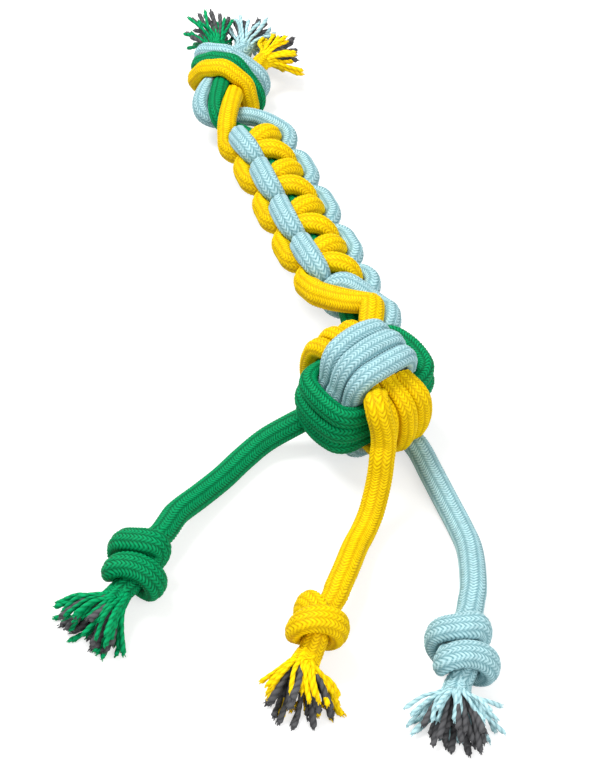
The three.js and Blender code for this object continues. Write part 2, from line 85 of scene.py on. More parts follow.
# Sizes of the look: ropes swell until they press on each other, wider than they are thick where tied
FREE_RADIUS = 6.0 * MM
SENNIT_HALF_WIDE = 6.5 * MM
SENNIT_HALF_THICK = 5.0 * MM
TOP_HALF_WIDE = 5.8 * MM
TOP_HALF_THICK = 4.8 * MM
END_HALF_WIDE = 6.8 * MM
END_HALF_THICK = 4.3 * MM
BALL_HALF_WIDE = 5.7 * MM
BALL_HALF_THICK = 4.6 * MM
NECK_LENGTH = 5 * MM
NECK_RADIUS = 6.6 * MM
TOP_NECK_RADIUS = 5.4 * MM
BALL_SQUARENESS = 2.2
LEAST_RADIUS = 0.6 * MM
BRAID_COLUMNS = 16
SAMPLES_PER_COLUMN = 4
STITCH_PITCH = 1.5 * MM
STITCHES_DEEP = 0.6 * MM
ROUTE_STEP = 1.5 * MM
BALL_ROUTE_STEP = 0.5 * MM
RING_STEP = 0.34 * MM
SECTION_SIDES = 32
SECTION_ANGLES = np.arange(SECTION_SIDES) * 2 * math.pi / SECTION_SIDES

# Where a rope is parted into pieces, and how far each piece of a rope runs into the next
LEAD_BEYOND_SWING = 6 * MM
LEG_INTO_KNOT = 22 * MM
KNOT_OVERLAP = 2 * MM
TAIL_SWING = np.array([-2.9, 31.8, 33]) * MM


def unit(vectors):
    return vectors / np.maximum(np.linalg.norm(vectors, axis=-1, keepdims=True), 1e-12)


def smoothstep(value, low, high):
    share = np.clip((value - low) / (high - low), 0, 1)
    return share * share * (3 - 2 * share)


# Routes: a smooth curve through points, and points at even spacing along it
def curve_points(points, shares):
    points = np.asarray(points, float)
    ends = (2 * points[0] - points[1], 2 * points[-1] - points[-2])
    full = np.vstack([ends[0], points, ends[1]])
    place = np.clip(np.asarray(shares) * (len(points) - 1), 0, len(points) - 1 - 1e-9)
    start = place.astype(int)
    part = (place - start)[:, None]
    before, first, last, after = (full[start + k] for k in range(4))
    gaps = [np.linalg.norm(b - a, axis=1)[:, None] ** 0.5 for a, b in
            ((before, first), (first, last), (last, after))]
    slope_in = (first - before) / gaps[0] - (last - before) / (gaps[0] + gaps[1]) + (last - first) / gaps[1]
    slope_out = (last - first) / gaps[1] - (after - first) / (gaps[1] + gaps[2]) + (after - last) / gaps[2]
    slope_in = slope_in * gaps[1]
    slope_out = slope_out * gaps[1]
    square = -3 * first + 3 * last - 2 * slope_in - slope_out
    cube = 2 * first - 2 * last + slope_in + slope_out
    return first + slope_in * part + square * part ** 2 + cube * part ** 3


def run_lengths(points):
    steps = np.linalg.norm(np.diff(points, axis=0), axis=1)
    return np.concatenate([[0], np.cumsum(steps)])


def evenly(points, step):
    shares = np.linspace(0, 1, max(3001, 12 * len(points)))
    runs = run_lengths(curve_points(points, shares))
    count = max(2, round(runs[-1] / step))
    return curve_points(points, np.interp(np.linspace(0, runs[-1], count + 1), runs, shares))


# Settling: routes push each other apart while each is drawn tight
SETTLE_REACH = 3 * MM
OWN_RUN_SHARE = 1.6
LATE_SHARE = 0.8
LATE_PULL = 0.25
TOUCH_SHARE = 0.6


def settle(routes, spacing, radius_of, keep_out, rounds, pull):
    sizes = [len(route) for route in routes]
    points = np.vstack(routes)
    cord = np.repeat(np.arange(len(routes)), sizes)
    run = np.concatenate([np.arange(size) for size in sizes]) * spacing
    held = np.concatenate([(np.arange(n) < 2) | (np.arange(n) > n - 3) for n in sizes])
    radius = radius_of(points)
    free = ~held
    for turn in range(rounds):
        if turn % 10 == 0:
            apart = np.linalg.norm(points[:, None] - points[None], axis=2)
            need = radius[:, None] + radius[None] + CORD_GAP
            beside = (cord[:, None] == cord[None]) & (run[None] - run[:, None] < need * OWN_RUN_SHARE)
            one, two = np.nonzero(np.triu((apart < need + SETTLE_REACH) & ~beside, 1))
            pair_need = need[one, two]
        between = points[one] - points[two]
        distance = np.maximum(np.linalg.norm(between, axis=1), 1e-9)
        near = distance < pair_need
        shift = between[near] * (0.5 * (pair_need - distance)[near] / distance[near])[:, None]
        push = np.zeros_like(points)
        np.add.at(push, one[near], shift)
        np.add.at(push, two[near], -shift)
        touches = np.bincount(np.concatenate([one[near], two[near]]), minlength=len(points))
        strength = pull if turn < rounds * LATE_SHARE else pull * LATE_PULL
        bend = np.zeros_like(points)
        bend[1:-1] = (points[:-2] + points[2:]) / 2 - points[1:-1]
        moved = points + push / np.maximum(1, touches * TOUCH_SHARE)[:, None] + bend * strength
        moved = keep_out(moved, radius)
        points = np.where(free[:, None], moved, points)
    return np.split(points, np.cumsum(sizes)[:-1])


# Ball: place and outward direction on one turn, from the middle of the hidden pass on the short side
STRAIGHT_LONG = 2 * (BALL_LONG - BALL_CORNER)
STRAIGHT_SHORT = 2 * (BALL_SHORT - BALL_CORNER)
BEND_LENGTH = math.pi / 2 * BALL_CORNER
TURN_LENGTH = 2 * (STRAIGHT_LONG + STRAIGHT_SHORT) + 4 * BEND_LENGTH
UP = np.array([0.0, 0.0, 1.0])
LEVEL_FACE = np.array([math.cos(BALL_TWIST), math.sin(BALL_TWIST), 0.0])
GREEN_FACE = np.array([math.sin(BALL_TWIST), -math.cos(BALL_TWIST), 0.0])
YELLOW_FACE = LEVEL_FACE * math.cos(BALL_LEAN) - UP * math.sin(BALL_LEAN)
BLUE_FACE = UP * math.cos(BALL_LEAN) + LEVEL_FACE * math.sin(BALL_LEAN)
BALL_CENTRE = np.array([0.0, 0.0, BALL_HEIGHT])
# Each coil's long, short and stacking directions, and the sign of its start along each of them
BALL_COILS = {
    "blue": {"axes": np.array([BLUE_FACE, GREEN_FACE, YELLOW_FACE]), "signs": np.array([-1, -1, 1])},
    "green": {"axes": np.array([GREEN_FACE, YELLOW_FACE, BLUE_FACE]), "signs": np.array([1, -1, -1])},
    "yellow": {"axes": np.array([YELLOW_FACE, BLUE_FACE, GREEN_FACE]), "signs": np.array([1, 1, 1])},
}


def turn_point(run):
    left = run % TURN_LENGTH
    heading = 0.0
    on_long, on_short = 0.0, BALL_SHORT
    for length in (STRAIGHT_LONG / 2, STRAIGHT_SHORT, STRAIGHT_LONG, STRAIGHT_SHORT, STRAIGHT_LONG / 2):
        forward = (math.cos(heading), math.sin(heading))
        straight = min(left, length)
        on_long += forward[0] * straight
        on_short += forward[1] * straight
        left -= straight
        if left <= 0:
            return on_long, on_short, (-forward[1], forward[0])
        bend = min(left, BEND_LENGTH)
        angle = bend / BALL_CORNER
        centre = (on_long + BALL_CORNER * forward[1], on_short - BALL_CORNER * forward[0])
        out = (math.sin(angle - heading), math.cos(angle - heading))
        on_long = centre[0] + BALL_CORNER * out[0]
        on_short = centre[1] + BALL_CORNER * out[1]
        left -= bend
        if left <= 0:
            return on_long, on_short, out
        heading -= math.pi / 2
    return on_long, on_short, (0.0, 1.0)


def round_off(points):
    size = np.linalg.norm(points, axis=-1, keepdims=True)
    share = (np.abs(points) ** BALL_BLOCK_POWER).sum(-1, keepdims=True) ** (1 / BALL_BLOCK_POWER) / size
    return points * (1 - BALL_ROUNDNESS + BALL_ROUNDNESS * share)


def ball_route(coil):
    runs = np.arange(BALL_STUB, BALL_TURNS * TURN_LENGTH - BALL_STUB, BALL_ROUTE_STEP)
    turns = np.arange(BALL_TURNS + 1) * TURN_LENGTH
    steps = smoothstep(runs[:, None], turns - BALL_STEP_REACH, turns + BALL_STEP_REACH).sum(1)
    stacked = BALL_PITCH * (steps - 1 - (BALL_TURNS - 1) / 2)
    found = [turn_point(run) for run in runs]
    flat = np.array([(on_long, on_short) for on_long, on_short, _ in found])
    out = np.array([direction for _, _, direction in found])
    block = np.column_stack([flat, stacked]) * coil["signs"]
    outward = np.column_stack([out, np.zeros(len(out))]) * coil["signs"]
    points = round_off(block) @ coil["axes"] + BALL_CENTRE
    outer = round_off(block + outward * MM) @ coil["axes"] + BALL_CENTRE
    return points, unit(outer - points)


# Sennit and large knot: the routes of the three ropes from tassel to ball
SENNIT_PERIODS = 4.6
SENNIT_HALF_WIDTH = 10 * MM
SENNIT_LIFT = 6.3 * MM
SENNIT_TUCK = -2.1 * MM
SENNIT_LEAN = 0.3
SENNIT_ROLL = math.radians(-27)
SENNIT_START = np.array([-53.5, 202, 20.2]) * MM
SENNIT_END = np.array([-4, 47, 32]) * MM
TOP_KNOT_CENTRE = np.array([-72, 243, 17]) * MM
TOP_WRAP_RADIUS = 15.5
TOP_WRAP_BASE = 17
TOP_WRAP_FALL = 24
TOP_WRAP_TILT = 4
TOP_WRAP_LEAN = 8
TOP_BAND = 9.6
KNOT_TO_SENNIT = (30 * MM, 45 * MM)
TOP_SETTLING = ((350, 0.12), (250, 0.06))
BALL_CLEARANCE = 2 * MM
FLOOR_CLEARANCE = 0.2 * MM

along = unit(SENNIT_END - SENNIT_START)
level_across = unit(np.cross(UP, along))
level_front = np.cross(along, level_across)
across = level_across * math.cos(SENNIT_ROLL) + level_front * math.sin(SENNIT_ROLL)
front = np.cross(along, across)
sennit_pitch = np.linalg.norm(SENNIT_END - SENNIT_START) / SENNIT_PERIODS


def sennit_point(periods, aside, proud):
    return SENNIT_START + along * periods * sennit_pitch + across * aside + front * proud


def tying_cord(start, end, face):
    points = []
    for periods in np.linspace(start, end, round((end - start) * 24) + 1):
        angle = 2 * math.pi * periods
        aside = SENNIT_HALF_WIDTH * math.cos(angle)
        proud = SENNIT_LIFT * math.cos(2 * angle) + SENNIT_TUCK
        leaning = periods + SENNIT_LEAN * math.sin(2 * angle)
        points.append(sennit_point(leaning, face * aside, face * proud))
    return points


def knot_points(points):
    return [TOP_KNOT_CENTRE + np.array(point) * MM for point in points]


def top_wrap(rank):
    points = []
    for angle in range(-65, 286, 25):
        turn = math.radians(angle)
        slant = TOP_WRAP_TILT * math.cos(turn) + TOP_WRAP_LEAN * math.sin(turn)
        y = TOP_WRAP_BASE + (1 - rank) * TOP_BAND + TOP_WRAP_FALL * (angle - 90) / 360 - slant
        points.append([TOP_WRAP_RADIUS * math.cos(turn), y, TOP_WRAP_RADIUS * math.sin(turn)])
    return points


HALF_WIDTH = SENNIT_HALF_WIDTH
TOP_ROUTES = {
    "blue": [
        *knot_points([[9.5, 44, 1], [8, 37, 0], [4, 29, -5], [0, 19, -5.5], [0, 8, -5], [0.5, 1, -9]]),
        *knot_points(top_wrap(0)),
        *knot_points([[7, 34, -7], [5, 31, 1], [-4, 24, 6], [-7, 10, 5], [-5, 0, 8], [-5, -7, 12.5]]),
        *knot_points([[-16, -12, 12], [-24, -18, 3], [-20, -22, -8], [-7, -23, -9], [3, -22, 0]]),
        *knot_points([[9, -18, 12], [17, -18, 13]]),
        *tying_cord(-0.05, 4.2, 1),
        sennit_point(3.98, -0.55 * HALF_WIDTH, -8 * MM),
        sennit_point(3.86, -1.0 * HALF_WIDTH, -3 * MM),
        sennit_point(3.8, -1.05 * HALF_WIDTH, 6 * MM),
        sennit_point(3.84, -0.65 * HALF_WIDTH, 14 * MM),
        sennit_point(4.05, -0.15 * HALF_WIDTH, 15 * MM),
        sennit_point(4.28, 0.25 * HALF_WIDTH, 10 * MM),
        sennit_point(4.45, 0.6 * HALF_WIDTH, 3 * MM),
        sennit_point(4.62, 1.0 * HALF_WIDTH, 3 * MM),
        np.array([12, 42, 41]) * MM,
        np.array([12.5, 38, 42]) * MM,
    ],
    "yellow": [
        *knot_points([[21, 31, 2], [17, 27, 1], [11, 20, -3], [8, 11, -4], [8, 1, -5]]),
        *knot_points([[7, -9, -6], [6, -17, -10]]),
        *knot_points(top_wrap(2)),
        *knot_points([[9, 18, -9], [10, 16, 0], [7, 10, 5.5], [6.5, -4, 8.5], [5.4, -15, 14.5]]),
        *knot_points([[1.5, -33, 15], [-3.2, -45, 9], [0, -49, 0], [4, -46, -5]]),
        *tying_cord(0.07, 3.9, -1),
        sennit_point(4.0, -1.2 * HALF_WIDTH, -4 * MM),
        sennit_point(4.3, -1.3 * HALF_WIDTH, 0),
        sennit_point(4.62, -1.05 * HALF_WIDTH, 7 * MM),
        sennit_point(4.78, -0.5 * HALF_WIDTH, 12 * MM),
        sennit_point(4.84, 0.1 * HALF_WIDTH, 13 * MM),
        np.array([3.5, 41, 47]) * MM,
        np.array([4, 37, 48]) * MM,
    ],
    "green": [
        *knot_points([[-6.5, 43, 3], [-4.7, 36, 2], [-5, 28, -1], [-8, 18, -4], [-8, 5, -5]]),
        *knot_points([[-8, -3, -6], [-4, -9, -10]]),
        *knot_points(top_wrap(1)),
        *knot_points([[8, 25, -4], [3, 21, 4], [0, 10, 5.5], [0, -4, 8], [0, -14, 13.5]]),
        *knot_points([[-8.6, -25, 12.5], [-13, -30, 5], [-8, -32, -4], [1, -30, -5], [8.4, -28, -1]]),
        sennit_point(-0.1, 0, 0),
        sennit_point(0.2, 0, 0),
        sennit_point(2.5, 0, 0),
        sennit_point(4.4, 0, 0),
        TAIL_SWING,
    ],
}


def top_radius(points):
    away = np.linalg.norm(points - TOP_KNOT_CENTRE, axis=1)
    share = smoothstep(away, *KNOT_TO_SENNIT)
    return (TOP_KNOT_DIAMETER * (1 - share) + SENNIT_DIAMETER * share) / 2


def keep_clear(points, radius):
    points = points.copy()
    points[:, 2] = np.maximum(points[:, 2], radius + FLOOR_CLEARANCE)
    away = points - BALL_CENTRE
    distance = np.linalg.norm(away, axis=1)
    need = BALL_REACH + BALL_CLEARANCE + radius
    lifted = BALL_CENTRE + away * (need / np.maximum(distance, 1e-9))[:, None]
    return np.where((distance < need)[:, None], lifted, points)


def settled_top():
    routes = [evenly(points, SETTLE_STEP) for points in TOP_ROUTES.values()]
    for rounds, pull in TOP_SETTLING:
        routes = settle(routes, SETTLE_STEP, top_radius, keep_clear, rounds, pull)
        routes = [evenly(points, SETTLE_STEP) for points in routes]
    return dict(zip(TOP_ROUTES, routes))


# Legs: points of each rope from the ball, knot centre on the floor plan, direction of the knot, how often
# the rope winds back round itself there, the angle at which it starts to, and the turn of the tassel
END_KNOT_PITCH = 1.25
END_KNOT_WRAP = 1.6
END_KNOT_INSIDE = 0.58
END_KNOT_BACK = 0.6
END_KNOT_STRETCH = 1.4
END_KNOT_START = -22 * MM / END_KNOT_STRETCH
END_KNOT_END = 16 * MM / END_KNOT_STRETCH
END_KNOT_DROP = 2.5 * MM
END_KNOT_STEP = 2 * MM
END_KNOT_SETTLING = ((300, 0.08), (200, 0.05))
END_KNOT_EDGE = 0.62
END_KNOT_RISE = 0.38
END_KNOT_RISES_IN = 0.18
END_KNOT_POINTS_PER_TURN = 10
END_KNOT_OFF_FLOOR = 0.1 * MM
LEG_SWELL = (0.75, 0.97)
TASSEL_SWELL = (0.85, 1)
TASSEL_NECK = 10 * MM
LEGS = {
    "green": {
        "route": [
            [-31.5, -5.8, 14.2], [-46, -11, 7.8], [-56.6, -21.4, 6.2],
            [-65.5, -33, 6.3], [-75, -45, 8],
        ],
        "knot": [-101, -90],
        "way": [-0.45, -0.893],
        "turns": 1.75,
        "wrap_start": math.radians(225),
        "tassel_turn": math.radians(-18),
    },
    "yellow": {
        "route": [
            [5.7, -46.1, 22.9], [4, -52, 16.5], [1.5, -59, 10.8],
            [-1.9, -67, 8.4], [-5.4, -75.5, 9.2],
        ],
        "knot": [-21.7, -124.3],
        "way": [-0.342, -0.94],
        "turns": 1.25,
        "wrap_start": math.radians(210),
        "tassel_turn": math.radians(15),
    },
    "blue": {
        "route": [
            [25, -16.9, 8.3], [30.8, -31.2, 6.3], [36.7, -48.1, 6.2],
            [41.7, -63.4, 6.8], [44.8, -78, 9],
        ],
        "knot": [37.8, -136],
        "way": [-0.196, -0.98],
        "turns": 1.75,
        "wrap_start": math.radians(225),
        "tassel_turn": math.radians(8),
    },
}
LEAD_ROUTE = [[5.2, -32.6, 47.4], [6.9, -34.9, 40.7], [7.3, -37.6, 34.2], [6.4, -42.7, 28.6]]


# One end knot along x: the rope runs in, winds back round itself and runs out through its own turns
def overhand(turns, wrap_start):
    half = END_KNOT_PITCH * turns / 2
    run = 2 * half - END_KNOT_BACK
    wind = 2 * math.pi * turns
    twist = math.pi * (2 * math.ceil(turns) - 1) - wind
    share = np.linspace(0, 1, 4)
    deep = np.full(4, END_KNOT_INSIDE)
    runs_in = np.column_stack([-half + run * share, deep, wrap_start + twist * (1 - share)])
    runs_out = np.column_stack([half - run * (1 - share), deep, wrap_start - wind - twist * share])
    share = np.linspace(0, 1, math.floor(END_KNOT_POINTS_PER_TURN * turns + 0.5) + 1)
    rise = smoothstep(np.minimum(share, 1 - share), 0, END_KNOT_RISES_IN)
    outside = END_KNOT_WRAP * (END_KNOT_EDGE + END_KNOT_RISE * rise)
    wraps = np.column_stack([half * (1 - 2 * share), outside, wrap_start - wind * share])
    x, radius, angle = np.vstack([runs_in, wraps, runs_out]).T
    tied = np.column_stack([x, radius * np.cos(angle), radius * np.sin(angle)]) * END_KNOT_DIAMETER
    start = [[END_KNOT_START, 0, -END_KNOT_DROP], [END_KNOT_START + MM, 0, -END_KNOT_DROP]]
    end = [[END_KNOT_END - MM, 0, -END_KNOT_DROP], [END_KNOT_END, 0, -END_KNOT_DROP]]
    return np.vstack([start, tied, end])


def end_knot_radius(points):
    x = points[:, 0]
    leg_swell = smoothstep(x / END_KNOT_START, *LEG_SWELL)
    tassel_swell = smoothstep(x / END_KNOT_END, *TASSEL_SWELL)
    swell = (2 * ROPE_RADIUS - END_KNOT_DIAMETER) * leg_swell
    swell = swell + (TASSEL_NECK - END_KNOT_DIAMETER) * tassel_swell
    return (END_KNOT_DIAMETER + swell) / 2


def settled_overhand(turns, wrap_start):
    route = overhand(turns, wrap_start)
    for rounds, pull in END_KNOT_SETTLING:
        even = [evenly(route, END_KNOT_STEP)]
        route = settle(even, END_KNOT_STEP, end_knot_radius, lambda points, radius: points, rounds, pull)[0]
    return route


# Each leg's knot in its place on the floor, and the point before it where the foot lifts
def leg_parts(leg):
    forward = unit(np.array([*leg["way"], 0.0]))
    axes = np.array([forward, np.cross(UP, forward), UP])
    tied = settled_overhand(leg["turns"], leg["wrap_start"])
    lowest = (tied[:, 2] - end_knot_radius(tied)).min()
    place = np.array([*leg["knot"], 0]) * MM
    place[2] = END_KNOT_OFF_FLOOR - lowest
    knot = tied * [END_KNOT_STRETCH, 1, 1] @ axes + place
    pivot = knot[0] - forward * (ROPE_RADIUS + PIECE_GAP)
    return {"forward": forward, "knot": knot, "pivot": pivot}


# Braid: columns of slanted stitches in pairs, with a groove between one pair and the next
STITCH_SLANT = 1.1
RIDGE_PLACES = (0, 0.25, 0.6, 1)
RIDGE_HEIGHTS = (0.35, 0.75, 1.0, 0.8)
STITCH_ENDS = 0.1
TONE_SCATTER = (12.9898, 78.233, 37.719, 43758.5453)


def braid(columns, samples, runs, seed):
    place = np.arange(columns * samples) / samples
    column = place.astype(int)
    over = place - column - 0.5 + 0.5 / samples
    from_groove = np.where(column % 2 == 0, over, -over) + 0.5
    shift = 0.5 * (column // 2 % 2) - STITCH_SLANT * from_groove
    phase = runs[:, None] / STITCH_PITCH + shift[None]
    number = np.floor(phase)
    along_stitch = phase - number - 0.5
    ridge = np.interp(from_groove, RIDGE_PLACES, RIDGE_HEIGHTS)
    bead = np.abs(np.cos(math.pi * along_stitch))
    height = ridge[None] * (STITCH_ENDS + (1 - STITCH_ENDS) * bead)
    by_number, by_column, by_seed, spread = TONE_SCATTER
    mixed = np.sin(number * by_number + column[None] * by_column + seed * by_seed) * spread
    tone = mixed - np.floor(mixed)
    return height, tone


# Rope mesh: rings along a route, each ring's radius limited by neighbours, the floor and the bend
def frames_along(points, first_side):
    tangents = unit(np.gradient(points, axis=0))
    sides = np.empty_like(points)
    side = first_side
    for i, tangent in enumerate(tangents):
        side = side - tangent * (side @ tangent)
        side = side / np.linalg.norm(side)
        sides[i] = side
    return tangents, sides, np.cross(tangents, sides)


def section_ways(side, other):
    return np.cos(SECTION_ANGLES)[:, None] * side + np.sin(SECTION_ANGLES)[:, None] * other


def oval(tangents, sides, others, outward, thick, wide, power):
    outward = unit(outward - tangents * (outward * tangents).sum(1, keepdims=True))
    beside = np.cross(tangents, outward)
    ways = section_ways(sides[:, None], others[:, None])
    out_share = np.abs((ways * outward[:, None]).sum(2)) / thick[:, None]
    beside_share = np.abs((ways * beside[:, None]).sum(2)) / wide[:, None]
    return (out_share ** power + beside_share ** power) ** (-1 / power)


PRESS_REACH = 2.2
OWN_RUN_APART = 17 * MM
BEND_FILL = 0.9


def pressed_radii(rope, neighbours):
    runs = rope["runs"]
    bends = np.gradient(rope["tangents"], axis=0) / np.maximum(np.gradient(runs), 1e-9)[:, None]
    radii = np.empty((len(runs), SECTION_SIDES))
    for i, point in enumerate(rope["points"]):
        ways = section_ways(rope["sides"][i], rope["others"][i])
        limit = rope["full"][i]
        towards = neighbours["points"] - point
        square = (towards ** 2).sum(1)
        far_along = np.abs(neighbours["run"] - runs[i]) > OWN_RUN_APART
        apart = (neighbours["rope"] != neighbours["own"]) | far_along
        near = (square < (PRESS_REACH * limit.max()) ** 2) & apart
        if near.any():
            reach = ways @ towards[near].T
            cut = square[near][None] / (2 * np.maximum(reach, 1e-6))
            limit = np.minimum(limit, cut.min(1))
        inward = ways @ bends[i]
        limit = np.minimum(limit, BEND_FILL / np.maximum(inward, 1e-6))
        to_floor = np.where(ways[:, 2] < -1e-3, point[2] / np.maximum(-ways[:, 2], 1e-3), 1)
        limit = np.minimum(limit, to_floor)
        radii[i] = np.maximum(limit, LEAST_RADIUS)
    for _ in range(2):
        radii = (np.roll(radii, 1, 1) + 2 * radii + np.roll(radii, -1, 1)) / 4
        padded = np.vstack([radii[:1], radii, radii[-1:]])
        radii = (padded[:-2] + 2 * padded[1:-1] + padded[2:]) / 4
    return radii


def add_mesh(name, points, quads, uv, values, material):
    mesh = bpy.data.meshes.new(name)
    mesh.vertices.add(len(points))
    mesh.vertices.foreach_set("co", np.asarray(points, np.float32).ravel())
    mesh.loops.add(quads.size)
    mesh.loops.foreach_set("vertex_index", quads.astype(np.int32).ravel())
    mesh.polygons.add(len(quads))
    mesh.polygons.foreach_set("loop_start", np.arange(len(quads), dtype=np.int32) * 4)
    mesh.polygons.foreach_set("use_smooth", np.ones(len(quads), bool))
    layer = mesh.uv_layers.new(name="OFBake")
    layer.data.foreach_set("uv", np.asarray(uv, np.float32).ravel())
    for label, value in values.items():
        attribute = mesh.attributes.new(label, "FLOAT", "POINT")
        attribute.data.foreach_set("value", np.asarray(value, np.float32).ravel())
    mesh.update(calc_edges=True)
    mesh.validate()
    mesh.materials.append(material)
    piece = bpy.data.objects.new(name, mesh)
    bpy.context.scene.collection.objects.link(piece)
    return piece


# A strip of rings in rows, so that a long rope fills a square map
ROW_MARGIN = 0.02


def strip_uv(rings, around, length, width):
    rows = max(1, round(math.sqrt(length / width)))
    per_row = math.ceil((rings - 1) / rows)
    ring = np.repeat(np.arange(rings - 1), around)
    side = np.tile(np.arange(around), rings - 1)
    row = ring // per_row
    left = (ring - row * per_row) / per_row
    right = left + 1 / per_row
    row_height = 1 - 2 * ROW_MARGIN
    low = (row + ROW_MARGIN + row_height * side / around) / rows
    high = (row + ROW_MARGIN + row_height * (side + 1) / around) / rows
    return np.stack([
        np.column_stack([left, low]), np.column_stack([left, high]),
        np.column_stack([right, high]), np.column_stack([right, low]),
    ], axis=1)


def ring_quads(rings, around, first=0):
    ring = np.repeat(np.arange(rings - 1), around)
    side = np.tile(np.arange(around), rings - 1)
    after = (side + 1) % around
    here = first + ring * around
    return np.column_stack([here + side, here + after, here + around + after, here + around + side])


def ring_ways(angles, sides, others):
    return np.cos(angles)[None, :, None] * sides[:, None] + np.sin(angles)[None, :, None] * others[:, None]


def add_rope(name, rope, start, end, material):
    """One piece of a rope, from run start to run end."""
    points, runs = rope["points"], rope["runs"]
    count = max(8, round((end - start) / RING_STEP))
    at = np.linspace(start, end, count)
    shares = np.interp(at, runs, np.linspace(0, 1, len(runs)))
    place = shares * (len(runs) - 1)
    low = np.minimum(place.astype(int), len(runs) - 2)
    part = (place - low)[:, None]
    centres = curve_points(points, shares)
    tangents = unit(np.gradient(centres, axis=0))
    sides = rope["sides"][low] * (1 - part) + rope["sides"][low + 1] * part
    sides = unit(sides - tangents * (sides * tangents).sum(1, keepdims=True))
    others = np.cross(tangents, sides)
    radii = rope["radii"][low] * (1 - part) + rope["radii"][low + 1] * part
    around = BRAID_COLUMNS * SAMPLES_PER_COLUMN
    angle_place = (np.arange(around) + 0.5) / around * SECTION_SIDES
    first = angle_place.astype(int) % SECTION_SIDES
    mix = angle_place - angle_place.astype(int)
    radius = radii[:, first] * (1 - mix) + radii[:, (first + 1) % SECTION_SIDES] * mix
    height, tone = braid(BRAID_COLUMNS, SAMPLES_PER_COLUMN, at, rope["seed"])
    angles = (np.arange(around) + 0.5) / around * 2 * math.pi
    ways = ring_ways(angles, sides, others)
    surface = centres[:, None] + ways * (radius - STITCHES_DEEP * (1 - height))[..., None]
    quads = ring_quads(count, around)
    uv = strip_uv(count, around, end - start, 2 * math.pi * radius.mean())
    # The stitch height that sinks the surface also sets the painted shade between stitches
    values = {"stitch": height, "tone": tone}
    return add_mesh(name, surface.reshape(-1, 3), quads, uv, values, material), centres


# Yarn material: painted shade darkens the colour between stitches, plies and windings, and the colour varies
# from stitch to stitch
def yarn_material(name, colour, deep):
    material = bpy.data.materials.new(name)
    material.use_nodes = True
    nodes, links = material.node_tree.nodes, material.node_tree.links
    shader = nodes["Principled BSDF"]
    shader.inputs["Roughness"].default_value = 0.55
    shader.inputs["Specular IOR Level"].default_value = 0.06
    stitch = nodes.new("ShaderNodeAttribute")
    stitch.attribute_name = "stitch"
    tone = nodes.new("ShaderNodeAttribute")
    tone.attribute_name = "tone"
    place = nodes.new("ShaderNodeTexCoord")
    fibre = nodes.new("ShaderNodeTexNoise")
    fibre.inputs["Scale"].default_value = 2600
    fibre.inputs["Detail"].default_value = 3
    patches = nodes.new("ShaderNodeTexNoise")
    patches.inputs["Scale"].default_value = 70
    # Painted shade: the second colour is mixed in where the stitch height is low, in the crevices where
    # shade falls
    crevice_shade_mix = nodes.new("ShaderNodeMix")
    crevice_shade_mix.data_type = "RGBA"
    crevice_shade_mix.inputs["A"].default_value = (*deep, 1)
    crevice_shade_mix.inputs["B"].default_value = (*colour, 1)
    shape = nodes.new("ShaderNodeMapRange")
    shape.inputs["From Min"].default_value = 0.15
    shape.inputs["From Max"].default_value = 0.88
    vary = nodes.new("ShaderNodeHueSaturation")
    value = nodes.new("ShaderNodeMath")
    value.operation = "MULTIPLY_ADD"
    value.inputs[1].default_value = 0.16
    value.inputs[2].default_value = 0.86
    blotch = nodes.new("ShaderNodeMath")
    blotch.operation = "MULTIPLY_ADD"
    blotch.inputs[1].default_value = 0.12
    bump = nodes.new("ShaderNodeBump")
    bump.inputs["Strength"].default_value = 0.35
    bump.inputs["Distance"].default_value = 0.0003
    links.new(place.outputs["Object"], fibre.inputs["Vector"])
    links.new(place.outputs["Object"], patches.inputs["Vector"])
    links.new(stitch.outputs["Fac"], shape.inputs["Value"])
    links.new(shape.outputs["Result"], crevice_shade_mix.inputs["Factor"])
    links.new(tone.outputs["Fac"], value.inputs[0])
    links.new(patches.outputs["Fac"], blotch.inputs[0])
    links.new(value.outputs["Value"], blotch.inputs[2])
    links.new(blotch.outputs["Value"], vary.inputs["Value"])
    links.new(crevice_shade_mix.outputs["Result"], vary.inputs["Color"])
    links.new(vary.outputs["Color"], shader.inputs["Base Color"])
    links.new(fibre.outputs["Fac"], bump.inputs["Height"])
    links.new(bump.outputs["Normal"], shader.inputs["Normal"])
    return material


# Each material's second colour is the painted shade for its crevices
MATERIALS = {
    "green": yarn_material("green_rope_yarn", (0.002, 0.345, 0.12), (0.0, 0.045, 0.013)),
    "yellow": yarn_material("yellow_rope_yarn", (0.98, 0.69, 0.003), (0.52, 0.27, 0.0)),
    "blue": yarn_material("blue_rope_yarn", (0.47, 0.71, 0.75), (0.09, 0.24, 0.28)),
    "grey": yarn_material("grey_core_yarn", (0.1, 0.1, 0.105), (0.016, 0.016, 0.018)),
}

# All routes first, since ropes press on each other
top_routes = settled_top()
leg_places = {colour: leg_parts(leg) for colour, leg in LEGS.items()}
ropes = {}


def add_route(name, points, outward, thick, wide, power, seed):
    tangents, sides, others = frames_along(points, np.array([0.3, 0.2, 1.0]))
    ropes[name] = {
        "points": points,
        "tangents": tangents,
        "sides": sides,
        "others": others,
        "runs": run_lengths(points),
        "full": oval(tangents, sides, others, outward, thick, wide, power),
        "seed": seed,
    }


def blend_sizes(first, last, share):
    return first * (1 - share) + last * share


# Away from a knot's or sennit's middle line, with the share of a section that is pressed flat there
PRESSED_FLAT = (2 * MM, 6 * MM)


def away_from(line, points):
    nearest = np.full(len(points), np.inf)
    away = np.zeros_like(points)
    for start, end in zip(line[:-1], line[1:]):
        share = np.clip((points - start) @ (end - start) / ((end - start) @ (end - start)), 0, 1)
        offset = points - start - share[:, None] * (end - start)
        distance = np.linalg.norm(offset, axis=1)
        away = np.where((distance < nearest)[:, None], offset, away)
        nearest = np.minimum(nearest, distance)
    return away + 1e-6, smoothstep(nearest, *PRESSED_FLAT)


